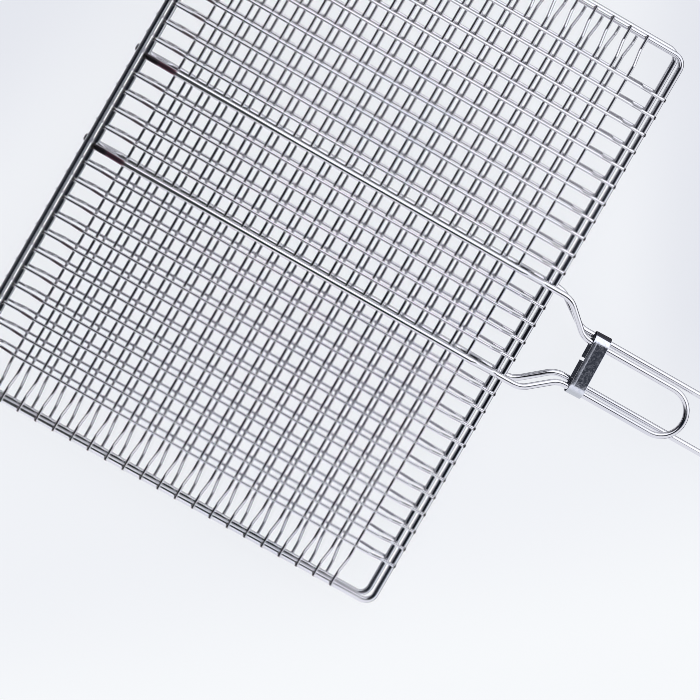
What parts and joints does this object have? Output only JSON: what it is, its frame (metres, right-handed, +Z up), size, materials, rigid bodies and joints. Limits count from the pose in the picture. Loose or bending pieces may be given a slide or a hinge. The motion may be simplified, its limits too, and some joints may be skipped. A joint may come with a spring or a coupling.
{
  "type": "grill basket",
  "caption": "Hinged double wire basket that clamps food between two dished grids for turning over a fire, with rod handles locked by a sliding sleeve.",
  "frame": {"origin": "on the surface the closed basket lies on, under the middle of its two leaves", "axes": "+X from the hinge towards the grip, +Y across the leaves to the left side, +Z up, from the lower leaf to the upper one"},
  "size_m": [0.6225, 0.4032, 0.037],
  "materials": {
    "wire_chrome": "polished",
    "rim_chrome": "polished",
    "handle_chrome": "polished",
    "galvanised_sheet": "galvanised",
    "clip_sheet": "galvanised"
  },
  "bodies": {
    "lower_leaf": {"lower_rim": "rim_chrome", "lower_cross_wire_01": "wire_chrome", "lower_cross_wire_02": "wire_chrome", "lower_cross_wire_03": "wire_chrome", "lower_cross_wire_04": "wire_chrome", "lower_cross_wire_05": "wire_chrome", "lower_cross_wire_06": "wire_chrome", "lower_cross_wire_07": "wire_chrome", "lower_cross_wire_08": "wire_chrome", "lower_cross_wire_09": "wire_chrome", "lower_cross_wire_10": "wire_chrome", "lower_cross_wire_11": "wire_chrome", "lower_cross_wire_12": "wire_chrome", "lower_cross_wire_13": "wire_chrome", "lower_cross_wire_14": "wire_chrome", "lower_cross_wire_15": "wire_chrome", "lower_cross_wire_16": "wire_chrome", "lower_cross_wire_17": "wire_chrome", "lower_cross_wire_18": "wire_chrome", "lower_cross_wire_19": "wire_chrome", "lower_cross_wire_20": "wire_chrome", "lower_long_wires_left": "wire_chrome", "lower_long_wires_middle": "wire_chrome", "lower_long_wires_right": "wire_chrome", "long_handle": "handle_chrome"},
    "hinge_clips": {"hinge_clip_left": "clip_sheet", "hinge_clip_right": "clip_sheet"},
    "upper_leaf": {"upper_rim": "rim_chrome", "upper_cross_wire_01": "wire_chrome", "upper_cross_wire_02": "wire_chrome", "upper_cross_wire_03": "wire_chrome", "upper_cross_wire_04": "wire_chrome", "upper_cross_wire_05": "wire_chrome", "upper_cross_wire_06": "wire_chrome", "upper_cross_wire_07": "wire_chrome", "upper_cross_wire_08": "wire_chrome", "upper_cross_wire_09": "wire_chrome", "upper_cross_wire_10": "wire_chrome", "upper_cross_wire_11": "wire_chrome", "upper_cross_wire_12": "wire_chrome", "upper_cross_wire_13": "wire_chrome", "upper_cross_wire_14": "wire_chrome", "upper_cross_wire_15": "wire_chrome", "upper_cross_wire_16": "wire_chrome", "upper_cross_wire_17": "wire_chrome", "upper_cross_wire_18": "wire_chrome", "upper_cross_wire_19": "wire_chrome", "upper_cross_wire_20": "wire_chrome", "upper_long_wires_left": "wire_chrome", "upper_long_wires_middle": "wire_chrome", "upper_long_wires_right": "wire_chrome", "short_handle": "handle_chrome"},
    "latch": {"latch_sleeve": "galvanised_sheet"}
  },
  "joints": [
    {"name": "clip_swing", "type": "hinge", "parent": "lower_leaf", "child": "hinge_clips", "pos_m": [-0.1513, 0, 0.0149], "axis": [0, -1, 0], "range_deg": [0, 60]},
    {"name": "lid_open", "type": "hinge", "parent": "hinge_clips", "child": "upper_leaf", "pos_m": [-0.1475, 0, 0.0221], "axis": [0, -1, 0], "range_deg": [0, 125]},
    {"name": "latch_slide", "type": "slide", "parent": "lower_leaf", "child": "latch", "axis": [1, 0, 0], "range_m": [0, 0.24]}
  ],
  "couplings": [
    {"joint": "clip_swing", "follows": "lid_open", "ratio": 0.44}
  ]
}
